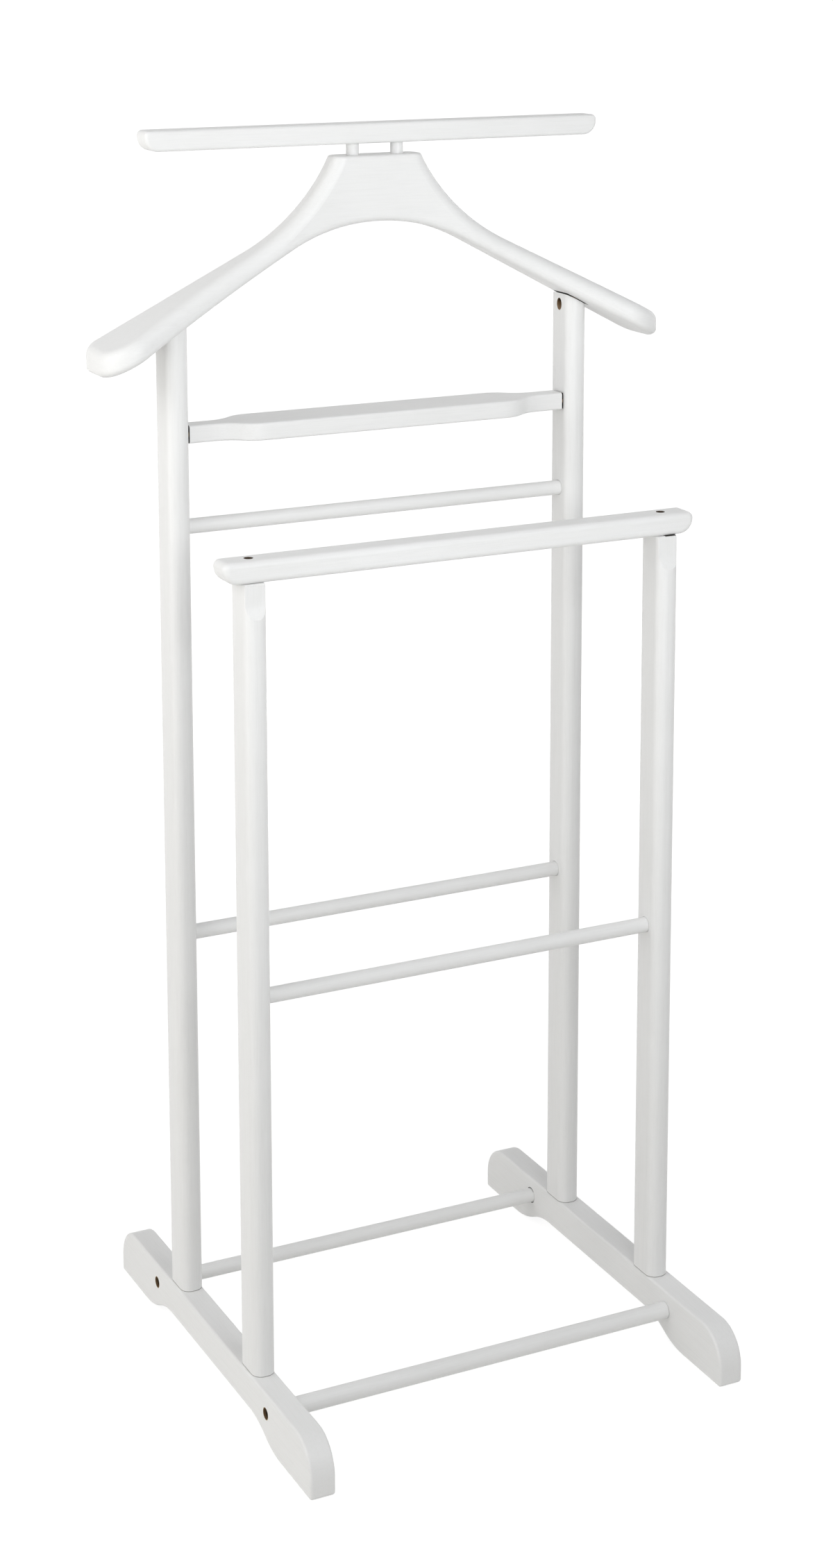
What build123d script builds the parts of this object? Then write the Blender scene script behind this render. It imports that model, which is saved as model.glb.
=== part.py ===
from build123d import *
import os
from math import atan2, cos, radians, sin, sqrt, tan

# A free-standing valet stand of painted wood: two feet, four uprights, a coat hanger with a slim
# bar above it, a small tray, a trouser bar and five round rails.
# Millimetres. +X is to the right, +Y to the rear, +Z up. The floor is z = 0, and x = y = 0 is
# midway between the feet.

# The stand's layout
foot_spacing = 348.0        # between the middle planes of the two feet
upright_spread = 146.0      # rear uprights to front uprights, middle to middle
base_rail_spread = 224.0    # rear base rail to front base rail, middle to middle
base_rail_height = 26.5
middle_rail_height = 337.5  # the lower rear rail and the front rail
upper_rail_drop = 80.0      # from the tray's top face down to the upper rear rail
front_height = 655.0        # tops of the front uprights, which carry the trouser bar

# Feet
foot_length = 388.0
foot_height = 42.0
foot_thickness = 20.0
foot_end_radius = 28.0      # round over the top of each end
foot_toe_radius = 3.0       # round at the floor
foot_pad = 56.0             # flat length that stands on the floor at each end
foot_sweep = 58.0           # length of the sweep from a pad up to the arch
foot_arch = 14.0            # clear height under the arch
foot_edge = 2.0

# Uprights
upright_width = 18.0
upright_depth = 32.0
upright_round = 8.0
upright_end_edge = 0.8      # eased edge at the top of a front upright
scallop_flat = 13.0         # straight part of the cut that thins the head of a front upright
scallop_radius = 22.0

# Round rails
rail_diameter = 12.0
rail_socket = 9.0           # how deep a rail enters an upright
base_rail_socket = 6.0      # how deep a base rail enters a foot
rail_edge = 0.6
socket_clearance = 0.5      # on the diameter of every socket

# Trouser bar
trouser_bar_length = 394.0
trouser_bar_depth = 24.0
trouser_bar_thickness = 17.0
trouser_bar_top_round = 5.5
trouser_bar_bottom_round = 12.0
trouser_bar_edge = 4.5

# Tray
tray_length = 325.0
tray_depth = 45.0
tray_thickness = 14.0
tray_drop = 200.0           # from the top of the hanger's neck down to the tray's top face
tray_end_depth = 17.0
tray_end_length = 22.0      # the narrow part at each end
tray_sweep = 36.0           # length over which it widens
tray_edge = 2.0

# Coat hanger
hanger_width = 480.0
hanger_height = 945.0       # top of its neck
hanger_depth = 24.0         # at the neck
hanger_tip_depth = 70.0     # the arms widen towards the front
hanger_setback = 3.0        # how far the neck stands behind the uprights' middle plane
neck_width = 75.0
neck_lean = 25.0            # degrees the neck's sides lean out from upright
neck_edge = 2.5             # round at the top of the neck
arch_drop = 51.8            # from the top of the neck down to the top of the arch
arch_span = 150.0
underside_slope = 28.1      # degrees
shoulder_slope = 26.1       # degrees, at the rear
shoulder_start = 110.0      # from the middle to where the straight shoulder begins
arm_end_height = 23.4       # at the rear
tip_fall = 4.8              # how far the top of a tip falls from its rear to its front
tip_front_round = 24.0      # front corner of a tip, seen from above
tip_rear_round = 14.0
shoulder_round = 8.8        # along the top of the arms
underside_round = 5.2
hanger_gap = 0.8            # between the hanger and the slanted heads of the rear uprights

# Top bar and its pegs
top_bar_length = 387.0
top_bar_depth = 20.0
top_bar_thickness = 16.0
top_bar_top_round = 4.0
top_bar_bottom_round = 11.0
top_bar_edge = 2.5
peg_diameter = 10.0
peg_spacing = 38.0
peg_gap = 9.0               # clear height between hanger and top bar
peg_in_hanger = 14.0
peg_in_bar = 9.0

# Bolts, screws and dowels
hole_clearance = 0.3        # on the diameter of every hole
rail_bolt_diameter = 5.0
rail_bolt_head = 8.6
rail_bolt_head_height = 4.5
rail_bolt_recess = 6.5      # depth of the recess in the foot's outer face
rail_bolt_grip = 26.0       # length inside the base rail
rail_bolt_key = 4.0         # across the flats of the key recess
foot_bolt_diameter = 6.0
foot_bolt_head = 10.0
foot_bolt_head_height = 5.0
foot_bolt_recess = 8.0
foot_bolt_grip = 34.0       # length inside the upright
foot_bolt_offset = 6.0      # from the upright's middle, away from the stand's middle
foot_bolt_key = 5.0
foot_dowel_diameter = 8.0
foot_dowel_length = 32.0
foot_dowel_offset = 8.0     # from the upright's middle, towards the stand's middle
foot_dowel_depth = 15.0     # inside the foot
bar_screw_diameter = 4.0
bar_screw_head = 6.6
bar_screw_head_height = 2.4
bar_screw_recess = 4.0
bar_screw_grip = 32.0       # length inside the upright
tray_dowel_diameter = 5.0
tray_dowel_spacing = 8.0
tray_dowel_depth = 12.0     # inside the tray
tray_dowel_grip = 10.0      # inside the upright
pocket_diameter = 7.4       # slanted pocket in a rear upright's inner face
pocket_drop = 9.0           # below the inner edge of the upright's head
pocket_depth = 4.8
pocket_slope = 40.0         # degrees above level
pocket_screw_diameter = 3.5
pocket_screw_head = 6.0
pocket_screw_head_height = 1.6
pocket_screw_length = 17.0
screw_cross = 1.2           # width of the slots of a cross recess
key_depth = 2.5
hanger_dowel_diameter = 6.0
hanger_dowel_offset = 9.0   # in front of the upright's middle
hanger_dowel_depth = 20.0   # inside the upright
hanger_dowel_grip = 11.0    # inside the hanger

# Places that follow from the sizes above
foot_x = foot_spacing / 2
foot_inner = foot_x - foot_thickness / 2
foot_outer = foot_x + foot_thickness / 2
upright_inner = foot_inner
upright_x = upright_inner + upright_width / 2
rear_y = upright_spread / 2
front_y = -upright_spread / 2
hanger_y = rear_y + hanger_setback
tip_x = hanger_width / 2
arch_height = hanger_height - arch_drop
arch_radius = arch_span / 2 / sin(radians(underside_slope))
arch_foot_z = arch_height - arch_radius * (1 - cos(radians(underside_slope)))
bar_base = hanger_height + peg_gap
tray_height = hanger_height - tray_drop
upper_rail_height = tray_height - upper_rail_drop


def underside_z(x):
    """Height of the hanger's straight underside at a distance x from the middle."""
    return arch_foot_z - (x - arch_span / 2) * tan(radians(underside_slope))


def shoulder_z(x):
    """Height of the hanger's straight shoulder at a distance x from the middle."""
    return underside_z(tip_x) + arm_end_height + (tip_x - x) * tan(radians(shoulder_slope))


def head_z(x):
    """Height of a rear upright's slanted head, parallel to the hanger's underside."""
    return underside_z(x) - hanger_gap / cos(radians(underside_slope))


def along_x(diameter, x0, x1, y, z):
    """A round bar or drill from x0 to x1."""
    return Pos((x0 + x1) / 2, y, z) * Rot(0, 90, 0) * Cylinder(diameter / 2, abs(x1 - x0))


def along_z(diameter, x, y, z0, z1):
    """An upright round bar or drill from z0 to z1."""
    return Pos(x, y, (z0 + z1) / 2) * Cylinder(diameter / 2, abs(z1 - z0))


def flip(shape):
    """The same shape on the other side of the stand."""
    return mirror(shape, Plane.YZ)


def ends(shape, axis):
    """The circular edges at both ends of a bar."""
    found = shape.edges().filter_by(GeomType.CIRCLE).sort_by(axis)
    return [found[0], found[-1]]


# Feet: one side outline, pulled through the thickness

def foot_outline():
    half, rise, run = foot_length / 2, foot_arch, foot_sweep
    pad_end = half - foot_pad
    arch_end = pad_end - run
    sweep_radius = (run * run + rise * rise) / (4 * rise)
    mid = (pad_end + arch_end) / 2
    front = [
        Line((0, rise), (arch_end, rise)),
        RadiusArc((arch_end, rise), (mid, rise / 2), sweep_radius),
        RadiusArc((mid, rise / 2), (pad_end, 0), -sweep_radius),
        Line((pad_end, 0), (half - foot_toe_radius, 0)),
        RadiusArc((half - foot_toe_radius, 0), (half, foot_toe_radius), -foot_toe_radius),
        Line((half, foot_toe_radius), (half, foot_height - foot_end_radius)),
        RadiusArc((half, foot_height - foot_end_radius), (half - foot_end_radius, foot_height),
                  -foot_end_radius),
        Line((half - foot_end_radius, foot_height), (0, foot_height)),
    ]
    return make_face(front + [mirror(edge, Plane.YZ) for edge in front])


def make_foot():
    """The right foot, with its sockets and recesses."""
    body = extrude(Plane.YZ * foot_outline(), foot_thickness / 2, both=True)
    flat = [e for e in body.edges() if abs(abs(e.center().X) - foot_thickness / 2) < 1e-6]
    body = Pos(foot_x, 0, 0) * fillet(flat, foot_edge)
    for side in (1, -1):
        y = side * base_rail_spread / 2
        z = base_rail_height
        body -= along_x(rail_diameter + socket_clearance, foot_inner - 1,
                        foot_inner + base_rail_socket, y, z)
        body -= along_x(rail_bolt_head + hole_clearance, foot_outer - rail_bolt_recess,
                        foot_outer + 1, y, z)
        body -= along_x(rail_bolt_diameter + hole_clearance, foot_inner, foot_outer, y, z)
        bolt_y = side * (upright_spread / 2 + foot_bolt_offset)
        dowel_y = side * (upright_spread / 2 - foot_dowel_offset)
        body -= along_z(foot_bolt_head + hole_clearance, upright_x, bolt_y,
                        -1, foot_arch + foot_bolt_recess)
        body -= along_z(foot_bolt_diameter + hole_clearance, upright_x, bolt_y,
                        0, foot_height + 1)
        body -= along_z(foot_dowel_diameter + hole_clearance, upright_x, dowel_y,
                        foot_height - foot_dowel_depth, foot_height + 1)
    return body


# Uprights: a rounded section, headed to suit what it carries

def upright_blank(y, top):
    section = RectangleRounded(upright_width, upright_depth, upright_round)
    return Pos(upright_x, y, foot_height) * extrude(section, top - foot_height)


def foot_end_holes(side):
    """Drills for the bolt and the dowel at the lower end of an upright."""
    y = side * upright_spread / 2
    return [
        along_z(foot_bolt_diameter + hole_clearance, upright_x, y + side * foot_bolt_offset,
                foot_height - 1, foot_height + foot_bolt_grip + 1),
        along_z(foot_dowel_diameter + hole_clearance, upright_x, y - side * foot_dowel_offset,
                foot_height - 1, foot_height + foot_dowel_length - foot_dowel_depth),
    ]


def rail_socket_drill(y, z):
    return along_x(rail_diameter + socket_clearance, upright_inner - 1,
                   upright_inner + rail_socket, y, z)


def pocket_axis():
    """Where the pocket screw enters, and the way it points."""
    entry = Vector(upright_inner, rear_y, head_z(upright_inner) - pocket_drop)
    return entry, Vector(cos(radians(pocket_slope)), 0, sin(radians(pocket_slope)))


def pocket_bar(diameter, start, stop):
    """A round bar on the pocket's axis, measured from the upright's inner face."""
    entry, way = pocket_axis()
    plane = Plane(entry + way * start, z_dir=way)
    return plane * extrude(Circle(diameter / 2), stop - start)


def make_rear_upright():
    """The right rear upright, with a slanted head that carries the hanger."""
    body = upright_blank(rear_y, head_z(upright_inner) + 1)
    slope = radians(underside_slope)
    head = Plane((upright_x, rear_y, head_z(upright_x)), x_dir=(cos(slope), 0, -sin(slope)),
                 z_dir=(sin(slope), 0, cos(slope)))
    body = split(body, head, keep=Keep.BOTTOM)
    tools = foot_end_holes(1)
    tools += [rail_socket_drill(rear_y, z) for z in (middle_rail_height, upper_rail_height)]
    for side in (1, -1):
        tools.append(along_x(tray_dowel_diameter + hole_clearance, upright_inner - 1,
                             upright_inner + tray_dowel_grip,
                             rear_y + side * tray_dowel_spacing / 2,
                             tray_height - tray_thickness / 2))
    dowel_y = rear_y - hanger_dowel_offset
    tools.append(along_z(hanger_dowel_diameter + hole_clearance, upright_x, dowel_y,
                         head_z(upright_x) - hanger_dowel_depth, hanger_height))
    tools.append(pocket_bar(pocket_diameter, -pocket_diameter, pocket_depth))
    tools.append(pocket_bar(pocket_screw_diameter + hole_clearance, 0, pocket_screw_length * 2))
    return body - tools


def scallop():
    """Cutter that thins the front of a front upright's head to the trouser bar's depth."""
    face = trouser_bar_depth / 2
    outside = upright_depth / 2 + 1
    low = front_height - scallop_flat
    reach = outside - face
    drop = sqrt(2 * scallop_radius * reach - reach * reach)
    outline = make_face([
        Line((-face, front_height + 1), (-face, low)),
        RadiusArc((-face, low), (-outside, low - drop), scallop_radius),
        Line((-outside, low - drop), (-outside, front_height + 1)),
        Line((-outside, front_height + 1), (-face, front_height + 1)),
    ])
    return extrude(Plane.YZ * outline, upright_width, both=True)


def make_front_upright():
    """The right front upright, thinned front and rear under the trouser bar."""
    body = upright_blank(front_y, front_height)
    cut = scallop()
    body -= Pos(upright_x, front_y, 0) * cut
    body -= Pos(upright_x, front_y, 0) * mirror(cut, Plane.XZ)
    body = chamfer(body.faces().sort_by(Axis.Z)[-1].edges(), upright_end_edge)
    tools = foot_end_holes(-1)
    tools.append(rail_socket_drill(front_y, middle_rail_height))
    tools.append(along_z(bar_screw_diameter + hole_clearance, upright_x, front_y,
                         front_height - bar_screw_grip - 1, front_height + 1))
    return body - tools


# Flat bars with rounded ends: the trouser bar and the top bar

def rounded_bar(length, depth, thickness, top_round, bottom_round, edge):
    """A bar along X that stands on z = 0, with its end corners and all its edges rounded."""
    half = length / 2
    right = [
        Line((0, 0), (half - bottom_round, 0)),
        RadiusArc((half - bottom_round, 0), (half, bottom_round), -bottom_round),
        RadiusArc((half, thickness - top_round), (half - top_round, thickness), -top_round),
        Line((half - top_round, thickness), (0, thickness)),
    ]
    if thickness - top_round - bottom_round > 1e-4:
        right.append(Line((half, bottom_round), (half, thickness - top_round)))
    outline = make_face(right + [mirror(e, Plane.YZ) for e in right])
    body = extrude(Plane.XZ * outline, depth / 2, both=True)
    faces = [e for e in body.edges() if abs(abs(e.center().Y) - depth / 2) < 1e-6]
    return fillet(faces, edge)


def make_trouser_bar():
    top_round = min(trouser_bar_top_round, trouser_bar_thickness - trouser_bar_bottom_round)
    body = rounded_bar(trouser_bar_length, trouser_bar_depth, trouser_bar_thickness,
                       top_round, trouser_bar_bottom_round, trouser_bar_edge)
    body = Pos(0, front_y, front_height) * body
    top = front_height + trouser_bar_thickness
    for x in (-upright_x, upright_x):
        body -= along_z(bar_screw_head + hole_clearance, x, front_y, top - bar_screw_recess,
                        top + 1)
        body -= along_z(bar_screw_diameter + hole_clearance, x, front_y, front_height - 1, top)
    return body


def make_top_bar():
    body = rounded_bar(top_bar_length, top_bar_depth, top_bar_thickness,
                       top_bar_top_round, top_bar_bottom_round, top_bar_edge)
    body = Pos(0, hanger_y, bar_base) * body
    for x in (-peg_spacing / 2, peg_spacing / 2):
        body -= along_z(peg_diameter + hole_clearance, x, hanger_y, bar_base - 1,
                        bar_base + peg_in_bar)
    return body


def make_peg():
    """The right peg: it stands in the hanger's neck and carries the top bar."""
    body = along_z(peg_diameter, peg_spacing / 2, hanger_y, hanger_height - peg_in_hanger,
                   bar_base + peg_in_bar)
    return chamfer(ends(body, Axis.Z), rail_edge)


# Tray: a plan outline with narrow ends, pulled up through the thickness

def make_tray():
    half, wide, narrow = tray_length / 2, tray_depth / 2, tray_end_depth / 2
    x0 = half - tray_end_length - tray_sweep
    x1 = half - tray_end_length
    radius = (tray_sweep ** 2 + (wide - narrow) ** 2) / (4 * (wide - narrow))
    mid = ((x0 + x1) / 2, (wide + narrow) / 2)
    quarter = [
        Line((0, wide), (x0, wide)),
        RadiusArc((x0, wide), mid, radius),
        RadiusArc(mid, (x1, narrow), -radius),
        Line((x1, narrow), (half, narrow)),
        Line((half, narrow), (half, 0)),
    ]
    right = quarter + [mirror(e, Plane.XZ) for e in quarter]
    outline = make_face(right + [mirror(e, Plane.YZ) for e in right])
    body = extrude(outline, tray_thickness)
    rims = [e for e in body.edges()
            if abs(e.center().Z - tray_thickness / 2) > tray_thickness / 2 - 1e-6
            and abs(e.center().X) < half - 1e-6]
    body = Pos(0, rear_y, tray_height - tray_thickness) * fillet(rims, tray_edge)
    for sx in (1, -1):
        for sy in (1, -1):
            body -= along_x(tray_dowel_diameter + hole_clearance, sx * (half - tray_dowel_depth),
                            sx * (half + 1), rear_y + sy * tray_dowel_spacing / 2,
                            tray_height - tray_thickness / 2)
    return body


# Coat hanger: its front outline and its widening plan, pulled through each other

def hanger_outline(fall):
    """The hanger seen from the front, a little past its tips, whose tops are lowered by fall."""
    neck = (neck_width / 2, hanger_height)
    shoulder = (shoulder_start, shoulder_z(shoulder_start))
    lean = radians(neck_lean)
    slope = atan2(shoulder[1] - shoulder_z(tip_x) + fall, tip_x - shoulder_start)
    past = tip_x + hanger_depth / 2
    low_tip = (past, underside_z(past))
    high_tip = (past, shoulder[1] - (past - shoulder_start) * tan(slope))
    reach = shoulder_start - neck_width / 2
    sweep = Bezier(
        neck,
        (neck[0] + 0.33 * reach * sin(lean), neck[1] - 0.33 * reach * cos(lean)),
        (shoulder[0] - 0.6 * reach * cos(slope), shoulder[1] + 0.6 * reach * sin(slope)),
        shoulder,
    )
    right = [
        Line((0, hanger_height), neck),
        sweep,
        Line(shoulder, high_tip),
        Line(high_tip, low_tip),
        Line(low_tip, (arch_span / 2, arch_foot_z)),
        RadiusArc((arch_span / 2, arch_foot_z), (0, arch_height), -arch_radius),
    ]
    return make_face(right + [mirror(e, Plane.YZ) for e in right])


def hanger_plan():
    """The hanger seen from above: straight at the rear, and sweeping forward along the arms."""
    flat = arch_span / 8
    front, rear = hanger_y - hanger_depth / 2, hanger_y + hanger_depth / 2
    sweep = hanger_tip_depth - hanger_depth
    radius = ((tip_x - flat) ** 2 + sweep ** 2) / (2 * sweep)
    tip_front = front - sweep
    right = [
        Line((0, front), (flat, front)),
        RadiusArc((flat, front), (tip_x, tip_front), radius),
        Line((tip_x, tip_front), (tip_x, rear)),
        Line((tip_x, rear), (0, rear)),
    ]
    plan = make_face(right + [mirror(e, Plane.YZ) for e in right])
    for y, rounding in ((tip_front, tip_front_round), (rear, tip_rear_round)):
        corners = [v for v in plan.vertices()
                   if abs(abs(v.X) - tip_x) < 1e-3 and abs(v.Y - y) < 1e-3]
        plan = fillet(corners, rounding)
    return plan


def place(edge):
    """Names an edge by its middle and its length, so that it is known again after a fillet."""
    return tuple(round(v, 3) for v in (*edge.center(), edge.length))


def places(faces):
    return {place(e) for face in faces for e in face.edges()}


def hanger_body():
    rear = hanger_y + hanger_depth / 2
    views = []
    for y in (rear + hanger_tip_depth, rear - 2 * hanger_tip_depth):
        plane = Plane((0, y, 0), x_dir=(1, 0, 0), z_dir=(0, -1, 0))
        views.append(plane * hanger_outline(tip_fall * (rear - y) / hanger_tip_depth))
    body = (loft(views, ruled=True) & extrude(hanger_plan(), hanger_height + 1)).solids()[0]
    rise = {face: face.normal_at(face.center()).Z for face in body.faces()}
    walls = [f for f in rise if abs(rise[f]) < 0.12]
    tops = [f for f in rise if rise[f] > 0.12 and f.center().Z < hanger_height - 0.01]
    bottoms = [f for f in rise if rise[f] < -0.12]
    for rims, radius in ((places(tops) & places(walls), shoulder_round),
                         (places(bottoms) & places(walls), underside_round)):
        body = fillet([e for e in body.edges() if place(e) in rims],
                      min(radius, 0.42 * arm_end_height))
    neck_rims = [e for e in body.edges() if e.bounding_box().min.Z > hanger_height - 1e-3
                 and abs(e.center().X) + abs(e.center().Y - hanger_y) > 1e-3]
    return fillet(neck_rims, neck_edge)


def make_hanger():
    body = hanger_body()
    for x in (-peg_spacing / 2, peg_spacing / 2):
        body -= along_z(peg_diameter + hole_clearance, x, hanger_y,
                        hanger_height - peg_in_hanger, hanger_height + 1)
    tools = [along_z(hanger_dowel_diameter + hole_clearance, upright_x,
                     rear_y - hanger_dowel_offset, foot_height,
                     underside_z(upright_x) + hanger_dowel_grip),
             pocket_bar(pocket_screw_diameter + hole_clearance, 0,
                        pocket_depth + pocket_screw_length + 1)]
    for tool in tools:
        body -= tool
        body -= flip(tool)
    return body


# Rails, bolts, screws and dowels

def make_rail(y, z, reach):
    body = along_x(rail_diameter, -reach, reach, y, z)
    return chamfer(ends(body, Axis.X), rail_edge)


def make_base_rail(side):
    reach = foot_inner + base_rail_socket
    y = side * base_rail_spread / 2
    body = make_rail(y, base_rail_height, reach)
    for sx in (1, -1):
        body -= along_x(rail_bolt_diameter + hole_clearance, sx * (reach + 1),
                        sx * (reach - rail_bolt_grip - 1), y, base_rail_height)
    return body


def hex_prism(flats, depth):
    return extrude(RegularPolygon(flats / 2, 6, major_radius=False), depth)


def cap_bolt(diameter, head, head_height, length, key):
    """A bolt that points along +Z, with its head below z = 0."""
    body = Pos(0, 0, length / 2) * Cylinder(diameter / 2, length)
    body += Pos(0, 0, -head_height / 2) * Cylinder(head / 2, head_height)
    return body - Pos(0, 0, -head_height) * hex_prism(key, min(key_depth, head_height * 0.7))


def wood_screw(diameter, head, head_height, length):
    """A screw that points along +Z, with a cross-slotted head below z = 0."""
    body = Pos(0, 0, length / 2) * Cylinder(diameter / 2, length)
    body += Pos(0, 0, -head_height / 2) * Cylinder(head / 2, head_height)
    for turn in (0, 90):
        body -= Pos(0, 0, -head_height) * Rot(0, 0, turn) * Box(head * 0.7, screw_cross,
                                                                head_height)
    return body


def make_rail_bolts():
    seat = foot_outer - rail_bolt_recess
    length = seat - (foot_inner + base_rail_socket) + rail_bolt_grip
    bolt = cap_bolt(rail_bolt_diameter, rail_bolt_head, rail_bolt_head_height, length,
                    rail_bolt_key)
    out = []
    for side in (1, -1):
        one = Pos(seat, side * base_rail_spread / 2, base_rail_height) * Rot(0, -90, 0) * bolt
        out += [one, flip(one)]
    return out


def make_foot_bolts():
    seat = foot_arch + foot_bolt_recess
    bolt = cap_bolt(foot_bolt_diameter, foot_bolt_head, foot_bolt_head_height,
                    foot_height - seat + foot_bolt_grip, foot_bolt_key)
    out = []
    for side in (1, -1):
        one = Pos(upright_x, side * (upright_spread / 2 + foot_bolt_offset), seat) * bolt
        out += [one, flip(one)]
    return out


def make_foot_dowels():
    base = foot_height - foot_dowel_depth
    out = []
    for side in (1, -1):
        one = along_z(foot_dowel_diameter, upright_x,
                      side * (upright_spread / 2 - foot_dowel_offset), base,
                      base + foot_dowel_length)
        one = chamfer(ends(one, Axis.Z), rail_edge)
        out += [one, flip(one)]
    return out


def make_tray_dowels():
    out = []
    for side in (1, -1):
        one = along_x(tray_dowel_diameter, tray_length / 2 - tray_dowel_depth,
                      upright_inner + tray_dowel_grip, rear_y + side * tray_dowel_spacing / 2,
                      tray_height - tray_thickness / 2)
        one = chamfer(ends(one, Axis.X), rail_edge)
        out += [one, flip(one)]
    return out


def make_bar_screws():
    seat = front_height + trouser_bar_thickness - bar_screw_recess
    screw = wood_screw(bar_screw_diameter, bar_screw_head, bar_screw_head_height,
                       seat - front_height + bar_screw_grip)
    one = Pos(upright_x, front_y, seat) * Rot(180, 0, 0) * screw
    return [one, flip(one)]


def make_pocket_screws():
    screw = wood_screw(pocket_screw_diameter, pocket_screw_head, pocket_screw_head_height,
                       pocket_screw_length)
    entry, way = pocket_axis()
    one = Plane(entry + way * pocket_depth, z_dir=way) * screw
    return [one, flip(one)]


def make_hanger_dowels():
    one = along_z(hanger_dowel_diameter, upright_x, rear_y - hanger_dowel_offset,
                  head_z(upright_x) - hanger_dowel_depth,
                  underside_z(upright_x) + hanger_dowel_grip)
    one = chamfer(ends(one, Axis.Z), rail_edge)
    return [one, flip(one)]


rail_reach = upright_inner + rail_socket
right_foot = make_foot()
right_rear = make_rear_upright()
right_front = make_front_upright()
peg = make_peg()

pieces = {
    "right_foot": right_foot,
    "left_foot": flip(right_foot),
    "right_rear_upright": right_rear,
    "left_rear_upright": flip(right_rear),
    "right_front_upright": right_front,
    "left_front_upright": flip(right_front),
    "coat_hanger": make_hanger(),
    "top_bar": make_top_bar(),
    "right_bar_peg": peg,
    "left_bar_peg": flip(peg),
    "valet_tray": make_tray(),
    "upper_rear_rail": make_rail(rear_y, upper_rail_height, rail_reach),
    "lower_rear_rail": make_rail(rear_y, middle_rail_height, rail_reach),
    "front_rail": make_rail(front_y, middle_rail_height, rail_reach),
    "rear_base_rail": make_base_rail(1),
    "front_base_rail": make_base_rail(-1),
    "trouser_bar": make_trouser_bar(),
    "base_rail_bolts": make_rail_bolts(),
    "foot_bolts": make_foot_bolts(),
    "foot_dowels": make_foot_dowels(),
    "tray_dowels": make_tray_dowels(),
    "trouser_bar_screws": make_bar_screws(),
    "hanger_screws": make_pocket_screws(),
    "hanger_dowels": make_hanger_dowels(),
}

os.makedirs("parts", exist_ok=True)
for name, shape in pieces.items():
    solids = []
    for item in shape if isinstance(shape, list) else [shape]:
        solids += item.solids()
    export_step(solids[0] if len(solids) == 1 else Compound(solids), f"parts/{name}.step")
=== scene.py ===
import bmesh
import bpy
from math import cos, pi, radians, sin
from mathutils import Matrix, Vector

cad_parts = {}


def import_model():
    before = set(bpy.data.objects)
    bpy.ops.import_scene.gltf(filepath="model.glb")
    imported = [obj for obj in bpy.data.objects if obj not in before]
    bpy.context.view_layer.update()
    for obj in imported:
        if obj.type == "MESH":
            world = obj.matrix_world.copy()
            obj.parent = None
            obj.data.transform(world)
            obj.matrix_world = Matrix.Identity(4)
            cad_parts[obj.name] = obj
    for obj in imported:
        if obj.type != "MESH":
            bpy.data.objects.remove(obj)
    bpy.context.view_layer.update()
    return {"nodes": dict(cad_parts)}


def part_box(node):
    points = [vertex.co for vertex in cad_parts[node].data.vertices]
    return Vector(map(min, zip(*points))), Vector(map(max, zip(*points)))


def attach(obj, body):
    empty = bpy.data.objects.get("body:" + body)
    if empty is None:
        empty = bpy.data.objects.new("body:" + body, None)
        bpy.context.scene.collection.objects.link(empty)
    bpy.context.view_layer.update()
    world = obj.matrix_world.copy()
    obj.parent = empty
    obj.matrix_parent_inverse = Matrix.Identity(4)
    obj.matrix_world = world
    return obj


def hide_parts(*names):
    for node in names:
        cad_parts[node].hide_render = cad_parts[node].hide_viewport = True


# A white valet stand, dressed and lit as in its photograph. Metres and the CAD model's frame:
# +X is to the right, +Y to the rear, +Z up, and the floor is z = 0.

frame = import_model()
nodes = frame["nodes"]
scene = bpy.context.scene
scene.view_settings.view_transform = "Standard"


# Node trees

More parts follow.
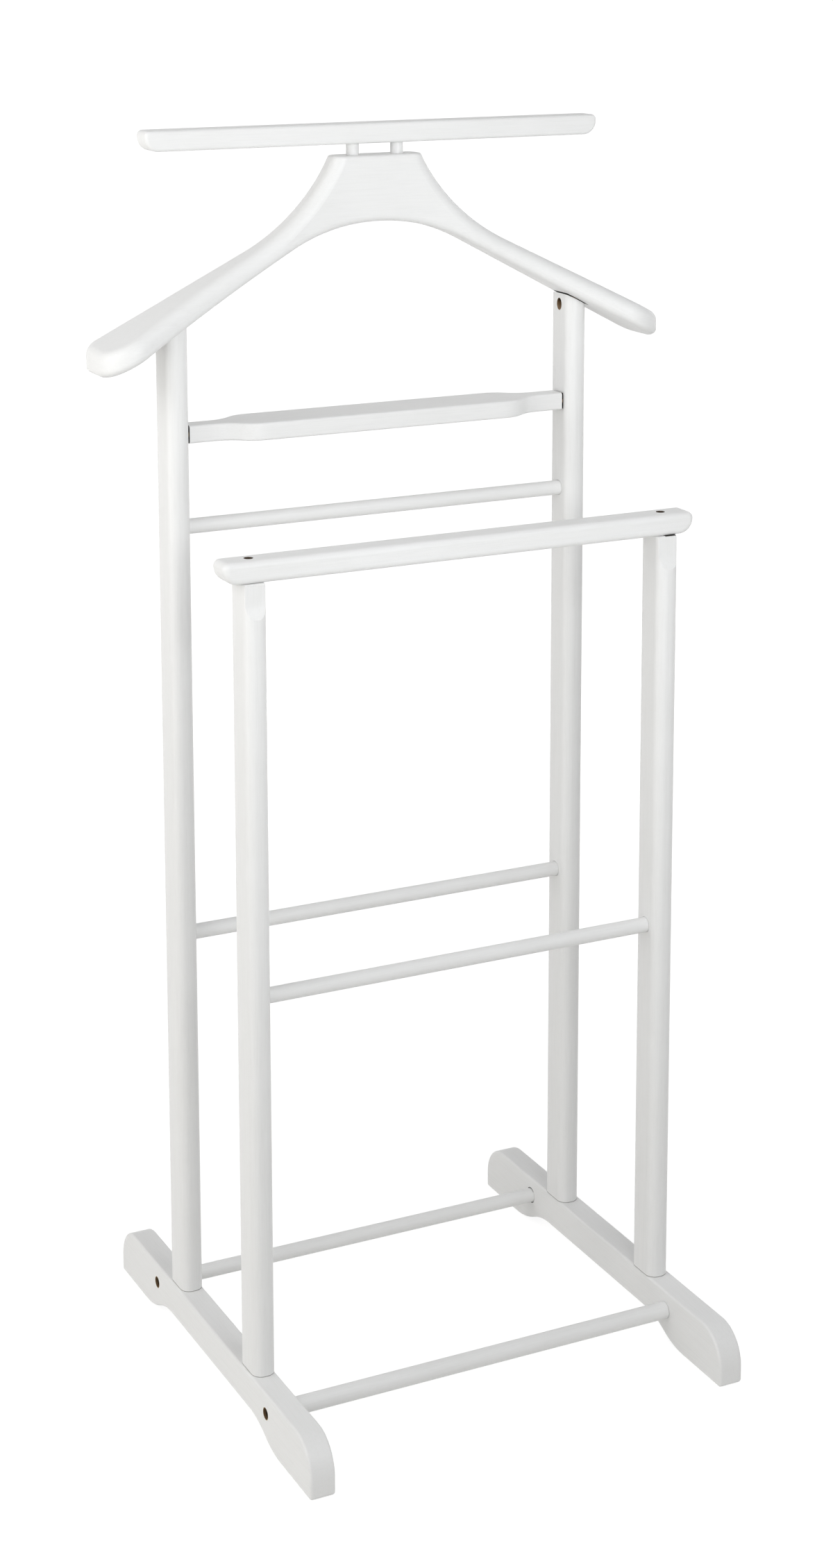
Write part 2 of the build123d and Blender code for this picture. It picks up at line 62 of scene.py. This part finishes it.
class Graph:
    """The node tree of a material or a world, with short calls to add nodes and link them."""

    def __init__(self, owner, output):
        owner.use_nodes = True
        self.owner = owner
        self.tree = owner.node_tree
        self.tree.nodes.clear()
        self.out = self.add(output)

    def add(self, kind, inputs=None, **settings):
        """A new node, with a value or a link on each input that is named."""
        node = self.tree.nodes.new(kind)
        for key, value in settings.items():
            setattr(node, key, value)
        for key, value in (inputs or {}).items():
            if isinstance(value, bpy.types.NodeSocket):
                self.tree.links.new(value, node.inputs[key])
            else:
                node.inputs[key].default_value = value
        return node

    def math(self, operation, *values):
        node = self.add("ShaderNodeMath", dict(enumerate(values)), operation=operation)
        return node.outputs[0]

    def vector(self, operation, *values, result="Vector"):
        node = self.add("ShaderNodeVectorMath", dict(enumerate(values)), operation=operation)
        return node.outputs[result]

    def split(self, vector):
        node = self.add("ShaderNodeSeparateXYZ", {0: vector})
        return [node.outputs[axis] for axis in "XYZ"]

    def place(self):
        """The place on the stand: every piece has its origin at the frame's."""
        return self.add("ShaderNodeTexCoord").outputs["Object"]

    def noise(self, at, scale, detail, roughness=0.5):
        return self.add("ShaderNodeTexNoise", {"Vector": at, "Scale": scale, "Detail": detail,
                                               "Roughness": roughness}).outputs["Fac"]

    def ramp(self, factor, stops):
        node = self.add("ShaderNodeValToRGB", {"Fac": factor})
        band = node.color_ramp
        while len(band.elements) < len(stops):
            band.elements.new(0.5)
        for element, (position, colour) in zip(band.elements, stops):
            element.position = position
            element.color = opaque(colour)
        return node.outputs["Color"]

    def mix(self, factor, first, second, blend="MIX"):
        """Two colours mixed. Of the mix node's inputs, 6 and 7 are its colours."""
        node = self.add("ShaderNodeMix", {0: factor, 6: first, 7: second},
                        data_type="RGBA", blend_type=blend)
        return node.outputs[2]

    def bump(self, height, strength, distance, below=None):
        """A bumpy normal, on top of another one if there is one below."""
        inputs = {"Height": height, "Strength": strength, "Distance": distance}
        if below is not None:
            inputs["Normal"] = below
        return self.add("ShaderNodeBump", inputs).outputs["Normal"]

    def seen_directly(self):
        """1 for rays from the camera, and for those that a reflection or glass sends on."""
        path = self.add("ShaderNodeLightPath")
        seen = path.outputs["Is Camera Ray"]
        for ray in ("Is Glossy Ray", "Is Transmission Ray"):
            seen = self.math("MAXIMUM", seen, path.outputs[ray])
        return seen

    def finish(self, shader):
        self.tree.links.new(shader.outputs[0], self.out.inputs["Surface"])
        return self.owner


def material_graph(name):
    return Graph(bpy.data.materials.new(name), "ShaderNodeOutputMaterial")


def opaque(colour):
    return (*colour, 1.0)


def grey(level):
    return (level, level, level)


def stretched(g, along, squeeze):
    """The place on the stand, squeezed along one axis so that a noise becomes grain."""
    scale = [1.0, 1.0, 1.0]
    scale["xyz".index(along)] = squeeze
    return g.add("ShaderNodeMapping", {"Vector": g.place(), "Scale": scale}).outputs["Vector"]


def mirrored(g, axes):
    """The place on the stand, with the axes that are named counted outwards from the middle."""
    parts = g.split(g.place())
    for k in ("xyz".index(axis) for axis in axes):
        parts[k] = g.math("ABSOLUTE", parts[k])
    return g.add("ShaderNodeCombineXYZ", dict(enumerate(parts))).outputs[0]


def in_bore(g, at, point, way, radius):
    """1 within a radius of a drilled hole's axis."""
    off = g.vector("CROSS_PRODUCT", g.vector("SUBTRACT", at, point), Vector(way).normalized())
    return g.math("LESS_THAN", g.vector("LENGTH", off, result="Value"), radius)


def in_box(g, at, low, high):
    """1 inside a box."""
    low, high = Vector(low), Vector(high)
    off = g.vector("ABSOLUTE", g.vector("SUBTRACT", at, (low + high) / 2))
    x, y, z = g.split(g.vector("SUBTRACT", off, (high - low) / 2))
    return g.math("LESS_THAN", g.math("MAXIMUM", g.math("MAXIMUM", x, y), z), 0.0)


def beyond(g, at, point, way):
    """1 on the far side of a plane."""
    arm = g.vector("SUBTRACT", at, point)
    return g.math("GREATER_THAN", g.vector("DOT_PRODUCT", arm, way, result="Value"), 0.0)


# Places that the paint doesn't cover, and painted shade in gaps and holes. Those on both sides
# have x counted outwards.

SHADED_BARE = (0.20, 0.125, 0.065)          # bare wood in a drilled hole, darkened as painted shade
HOLE_SHADE = (0.060, 0.040, 0.025)          # painted shade deep in a narrow hole, over bare wood
RIM = (0.66, 0.57, 0.40)             # worn rim of a recess
GAP_SHADE = (0.025, 0.022, 0.018)          # painted shade in a gap between two pieces
JOINT = (0.30, 0.29, 0.27)           # closed joint

ARM_SLOPE = radians(28.1)            # slope of the hanger's arms, seen from below
HEAD_UP = (sin(ARM_SLOPE), 0.0, cos(ARM_SLOPE))
HEAD_DOWN = tuple(-part for part in HEAD_UP)
HEAD_FACE = (0.173, 0.073, 0.82116)  # just below the slanted head of a rear upright
HANGER_FACE = (0.173, 0.073, 0.82216)
HANGER_SEAT = (0.163, 0.058, 0.80), (0.183, 0.088, 0.84)

POCKET_MOUTH = (0.164, 0.073, 0.8170)
POCKET_WAY = (0.766, 0, 0.643)
POCKET_RADIUS = 0.00382

TRAY_END = (0.16245, 0.04, 0.73), (0.17, 0.11, 0.746)
TRAY_JOINT = (0.1639, 0.0655, 0.7318), (0.1645, 0.0805, 0.7445)

FOOT_JOINT = (0, 0, 0.0425)          # just above the top of a foot
RECESS = (0.184, 0.112, 0.0265)      # a bolt's recess in the outer face of a foot
RECESS_RADIUS = 0.00456
RIM_RADIUS = 0.0049
SOCKET_RADIUS = 0.0068               # a ring of painted shade around the rear base rail, on the foot's inner face
SOCKET_ABOVE = (0.1635, 0.10, 0.0310), (0.1644, 0.125, 0.05)
SOCKET_BELOW = (0.1635, 0.10, 0.0), (0.1644, 0.125, 0.0222)

BAR_SCREW = (0.173, -0.073, 0.672)
BAR_SCREW_RADIUS = 0.00352
BAR_GAP_X = 0.171, 0.182             # painted shade below the trouser bar, at the right front upright
BAR_GAP_Y = -0.10, -0.05
BAR_GAP_BELOW, BAR_GAP_ABOVE = 0.0003, 0.01

SIDEWAYS, UP, DOWN = (1, 0, 0), (0, 0, 1), (0, 0, -1)


def bare_and_shaded(g, kind):
    """The places on a kind of piece that the paint doesn't cover, and its gaps and holes with
    painted shade, each with its colour.
    """
    if kind == "rear_upright":
        at = mirrored(g, "x")
        # The pocket hole: bare wood darkened as painted shade.
        return [(in_bore(g, at, POCKET_MOUTH, POCKET_WAY, POCKET_RADIUS), SHADED_BARE),
                # Painted shade in the gap under the hanger at the slanted head, and in the
                # tray's joint.
                (beyond(g, at, HEAD_FACE, HEAD_UP), GAP_SHADE),
                (in_box(g, at, *TRAY_JOINT), GAP_SHADE),
                (beyond(g, at, FOOT_JOINT, DOWN), JOINT)]
    if kind == "front_upright":
        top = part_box("trouser_bar")[0].z
        low = (BAR_GAP_X[0], BAR_GAP_Y[0], top - BAR_GAP_BELOW)
        high = (BAR_GAP_X[1], BAR_GAP_Y[1], top + BAR_GAP_ABOVE)
        return [(beyond(g, mirrored(g, "x"), FOOT_JOINT, DOWN), JOINT),
                # Painted shade in the gap below the trouser bar.
                (in_box(g, g.place(), low, high), GAP_SHADE)]
    if kind == "foot":
        at, rear = mirrored(g, "xy"), mirrored(g, "x")
        socket = in_bore(g, rear, RECESS, SIDEWAYS, SOCKET_RADIUS)
        # A ring of painted shade around the rear base rail's socket.
        return [(g.math("MULTIPLY", socket, in_box(g, rear, *SOCKET_ABOVE)), GAP_SHADE),
                (g.math("MULTIPLY", socket, in_box(g, rear, *SOCKET_BELOW)), GAP_SHADE),
                (in_bore(g, at, RECESS, SIDEWAYS, RIM_RADIUS), RIM),
                # Bare wood darkened as painted shade in the bolt's recess.
                (in_bore(g, at, RECESS, SIDEWAYS, RECESS_RADIUS), SHADED_BARE)]
    if kind == "trouser_bar":
        # Painted shade deep in the screw holes.
        return [(in_bore(g, mirrored(g, "x"), BAR_SCREW, UP, BAR_SCREW_RADIUS), HOLE_SHADE)]
    if kind == "valet_tray":
        # Painted shade on the tray's ends, in the gap at the uprights.
        return [(in_box(g, mirrored(g, "x"), *TRAY_END), GAP_SHADE)]
    if kind == "coat_hanger":
        at = mirrored(g, "x")
        underside = beyond(g, at, HANGER_FACE, HEAD_DOWN)
        # Painted shade on the hanger's underside where it sits on the uprights.
        return [(g.math("MULTIPLY", underside, in_box(g, at, *HANGER_SEAT)), GAP_SHADE)]
    return []


# Materials

def white_paint(kind, along):
    """Satin white paint on fine-grained wood, with its grain along one axis, bare wood in its
    holes and painted shade in its gaps and holes.
    """
    g = material_graph("white_paint_" + kind)
    grain_at = stretched(g, along, 0.04)
    plain_at = stretched(g, along, 1.0)
    grain = g.noise(grain_at, 900.0, 5.0, 0.62)
    pores = g.noise(grain_at, 1800.0, 2.0)
    cloud = g.noise(plain_at, 14.0, 3.0, 0.55)
    skin = g.noise(plain_at, 700.0, 2.0)
    streaks = g.ramp(grain, [(0.30, (0.822, 0.822, 0.818)), (0.52, (0.845, 0.845, 0.842)),
                             (0.75, (0.855, 0.855, 0.853))])
    patches = g.ramp(cloud, [(0.3, (0.978, 0.978, 0.974)), (0.7, (1.0, 1.0, 1.0))])
    colour = g.mix(1.0, streaks, patches, "MULTIPLY")
    # Bare wood, and painted shade in gaps and holes, over the paint.
    for place, shade in bare_and_shaded(g, kind):
        colour = g.mix(place, colour, opaque(shade))
    sunk = g.ramp(pores, [(0.26, grey(0.0)), (0.36, grey(1.0))])
    rough = g.add("ShaderNodeMapRange", {"Value": cloud, "From Min": 0.3, "From Max": 0.7,
                                         "To Min": 0.36, "To Max": 0.46})
    normal = g.bump(skin, 0.10, 0.0004)
    normal = g.bump(grain, 0.08, 0.0004, normal)
    normal = g.bump(sunk, 0.06, 0.0003, normal)
    return g.finish(g.add("ShaderNodeBsdfPrincipled", {
        "Base Color": colour, "Roughness": rough.outputs["Result"], "IOR": 1.48,
        "Specular IOR Level": 0.35, "Coat Weight": 0.06, "Coat Roughness": 0.3,
        "Normal": normal}))


def bare_wood():
    g = material_graph("bare_wood")
    grain = g.noise(stretched(g, "z", 0.05), 700.0, 5.0)
    colour = g.ramp(grain, [(0.3, (0.40, 0.25, 0.13)), (0.7, (0.60, 0.43, 0.26))])
    return g.finish(g.add("ShaderNodeBsdfPrincipled", {
        "Base Color": colour, "Roughness": 0.6, "Normal": g.bump(grain, 0.3, 0.0004)}))


def steel(name, dark, light, rough):
    g = material_graph(name)
    brush = g.noise(stretched(g, "z", 0.2), 1800.0, 3.0)
    colour = g.ramp(brush, [(0.3, dark), (0.7, light)])
    return g.finish(g.add("ShaderNodeBsdfPrincipled", {
        "Base Color": colour, "Metallic": 1.0, "Roughness": rough,
        "Normal": g.bump(brush, 0.15, 0.0002)}))


dowel_wood = bare_wood()
black_steel = steel("dark_steel", (0.010, 0.010, 0.010), (0.025, 0.024, 0.022), 0.55)
zinc = steel("zinc", (0.42, 0.42, 0.41), (0.58, 0.58, 0.57), 0.35)

GRAIN_ALONG = {"foot": "y", "upright": "z", "peg": "z"}    # x on every other piece
paints = {}
for name, piece in nodes.items():
    if name.endswith("dowels"):
        look = dowel_wood
    elif name == "foot_bolts":
        look = zinc
    elif name.endswith(("bolts", "screws")):
        look = black_steel
    else:
        kind = name.replace("left_", "").replace("right_", "")
        if kind not in paints:
            paints[kind] = white_paint(kind, GRAIN_ALONG.get(name.split("_")[-1], "x"))
        look = paints[kind]
    piece.data.materials.clear()
    piece.data.materials.append(look)


# The front base rail, which is thicker than the four other rails

BASE_RAIL = 0.0068     # its radius
EASED = 0.0006         # its softened edges
BOLT_BORE = 0.00265    # radius of the hole for a bolt at each end
BOLT_DEPTH = 0.027
SIDES = 64
CREASE = radians(40)


def turned_rail(node, radius):
    """A turned bar in place of a plain rail, with a bored tenon at each end."""
    low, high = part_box(node)
    middle = (low + high) / 2
    end, shoulder, tenon = high.x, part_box("right_foot")[0].x, high.z - middle.z
    outline = [(end - BOLT_DEPTH, 0.0), (end - BOLT_DEPTH, BOLT_BORE), (end, BOLT_BORE),
               (end, tenon - EASED), (end - EASED, tenon), (shoulder, tenon),
               (shoulder, radius - EASED), (shoulder - EASED, radius)]
    outline += [(-x, r) for x, r in reversed(outline)]
    turns = [2 * pi * k / SIDES for k in range(SIDES)]
    form = bmesh.new()
    rings = []
    for x, r in outline:
        if r == 0.0:
            rings.append([form.verts.new((x, middle.y, middle.z))] * SIDES)
        else:
            rings.append([form.verts.new((x, middle.y + r * cos(a), middle.z + r * sin(a)))
                          for a in turns])
    for one, two in zip(rings, rings[1:]):
        for k in range(SIDES):
            n = (k + 1) % SIDES
            form.faces.new(list(dict.fromkeys((one[k], one[n], two[n], two[k]))))
    bmesh.ops.recalc_face_normals(form, faces=form.faces)
    data = bpy.data.meshes.new("turned_" + node)
    form.to_mesh(data)
    form.free()
    data.shade_smooth()
    data.set_sharp_from_angle(angle=CREASE)
    data.materials.append(paints[node])
    rail = bpy.data.objects.new("turned_" + node, data)
    scene.collection.objects.link(rail)
    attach(rail, "root")
    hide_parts(node)


turned_rail("front_base_rail", BASE_RAIL)


# Floor, light and camera

WHITE = (1.0, 1.0, 1.0)
WARM = (1.0, 0.98, 0.93)
COOL = (0.965, 0.985, 1.0)

FLOOR_SIZE = 160.0
FLOOR_HEIGHT = -0.0005               # a hair below the feet
FLOOR = (0.81, 0.80, 0.775)          # as the stand sees it
FLOOR_SHADE = (0.30, 0.30, 0.30)     # under the glow that the camera sees
GLOW = (0.86, 1.0)                   # near the stand, far from it
GLOW_REACH = (0.4, 1.6)

WORLD = (0.48, 0.31)                 # at the horizon, overhead
OVERHEAD = 0.8                       # height on the unit sphere where overhead begins

# Name, azimuth, elevation, distance, size, watts, aim, colour, spread
LAMPS = [
    ("left_softbox", -90, 8, 1.1, (0.8, 1.4), 1.9, (-0.15, 0.0, 0.70), WARM),
    ("upper_left_softbox", -90, 24, 1.0, (0.7, 0.7), 3.1, (-0.15, 0.0, 0.95)),
    ("lower_left_softbox", -90, 5, 1.8, (1.2, 0.6), 4.0, (-0.15, 0.0, 0.15), WARM),
    ("front_left_softbox", -60, 5, 1.1, (0.7, 0.7), 1.5, (-0.10, 0.0, 0.95)),
    ("front_softbox", 0, 5, 1.2, (0.7, 0.7), 7.2, (0.0, 0.0, 1.00), COOL),
    ("low_front_softbox", -5, -22, 1.2, (0.6, 0.6), 0.19, (0.0, 0.03, 0.90), COOL, 50),
    ("left_rear_softbox", -125, 12, 1.6, (1.0, 1.4), 2.4, (0.0, 0.0, 0.70)),
    ("right_rear_softbox", 115, 10, 1.8, (0.8, 1.2), 2.4, (0.0, 0.0, 0.70)),
    ("high_front_softbox", 10, 50, 2.0, (1.0, 1.0), 2.6, (0.0, 0.0, 0.75)),
]

SENSOR = 36.0                        # millimetres, along the picture's height
PHOTO_HEIGHT = 2259                  # pixels
FOCAL = 3955.95                      # pixels


def floor():
    """A wide pale floor that the camera sees as white, apart from the stand's soft shadow."""
    bpy.ops.mesh.primitive_plane_add(size=FLOOR_SIZE, location=(0, 0, FLOOR_HEIGHT))
    plane = bpy.context.object
    plane.name = "floor"
    g = material_graph("pale_floor")
    away = g.vector("LENGTH", g.place(), result="Value")
    strength = g.add("ShaderNodeMapRange", {
        "Value": away, "From Min": GLOW_REACH[0], "From Max": GLOW_REACH[1],
        "To Min": GLOW[0], "To Max": GLOW[1]})
    plain = g.add("ShaderNodeBsdfDiffuse", {"Color": opaque(FLOOR)})
    shade = g.add("ShaderNodeBsdfDiffuse", {"Color": opaque(FLOOR_SHADE)})
    glow = g.add("ShaderNodeEmission", {"Color": opaque(WHITE),
                                        "Strength": strength.outputs["Result"]})
    lit = g.add("ShaderNodeAddShader", {0: shade.outputs[0], 1: glow.outputs[0]})
    mix = {0: g.seen_directly(), 1: plain.outputs[0], 2: lit.outputs[0]}
    plane.data.materials.append(g.finish(g.add("ShaderNodeMixShader", mix)))


def world():
    """White to the camera; a soft studio that is brighter at the horizon than overhead."""
    g = Graph(bpy.data.worlds.new("studio"), "ShaderNodeOutputWorld")
    height = g.split(g.add("ShaderNodeTexCoord").outputs["Generated"])[2]
    studio = g.ramp(height, [(0.0, grey(WORLD[0])), (OVERHEAD, grey(WORLD[1]))])
    soft = g.add("ShaderNodeBackground", {"Color": studio})
    white = g.add("ShaderNodeBackground", {"Color": opaque(WHITE)})
    mix = {0: g.seen_directly(), 1: soft.outputs[0], 2: white.outputs[0]}
    scene.world = g.finish(g.add("ShaderNodeMixShader", mix))


def softbox(name, azimuth, elevation, distance, size, watts, aim, colour=WHITE, spread=180):
    """A large area lamp. Azimuth 0 is in front of the stand and 90 to its right."""
    data = bpy.data.lights.new(name, "AREA")
    data.shape = "RECTANGLE"
    data.size, data.size_y = size
    data.energy = watts
    data.color = colour
    data.spread = radians(spread)
    lamp = bpy.data.objects.new(name, data)
    scene.collection.objects.link(lamp)
    a, e = radians(azimuth), radians(elevation)
    away = Vector((sin(a) * cos(e), -cos(a) * cos(e), sin(e)))
    lamp.location = Vector(aim) + away * distance
    lamp.rotation_euler = away.to_track_quat("Z", "Y").to_euler()


def camera(place, yaw, pitch, roll, shift_y):
    """A camera that looks along +Y when yaw is 0; pitch is down, roll about its own axis."""
    y, p, r = radians(yaw), radians(pitch), radians(roll)
    ahead = Vector((sin(y) * cos(p), cos(y) * cos(p), -sin(p)))
    right = Vector((cos(y), -sin(y), 0))
    up = right.cross(ahead)
    right, up = cos(r) * right + sin(r) * up, cos(r) * up - sin(r) * right
    data = bpy.data.cameras.new("camera")
    data.sensor_width = SENSOR
    data.lens = SENSOR * FOCAL / PHOTO_HEIGHT
    data.shift_y = shift_y
    eye = bpy.data.objects.new("camera", data)
    scene.collection.objects.link(eye)
    eye.matrix_world = Matrix((
        (right.x, up.x, -ahead.x, place[0]),
        (right.y, up.y, -ahead.y, place[1]),
        (right.z, up.z, -ahead.z, place[2]),
        (0, 0, 0, 1)))
    scene.camera = eye


floor()
world()
for lamp in LAMPS:
    softbox(*lamp)
camera((-0.91946, -1.85480, 1.12768), yaw=26.3305, pitch=9.8435, roll=-0.0933, shift_y=-0.25)
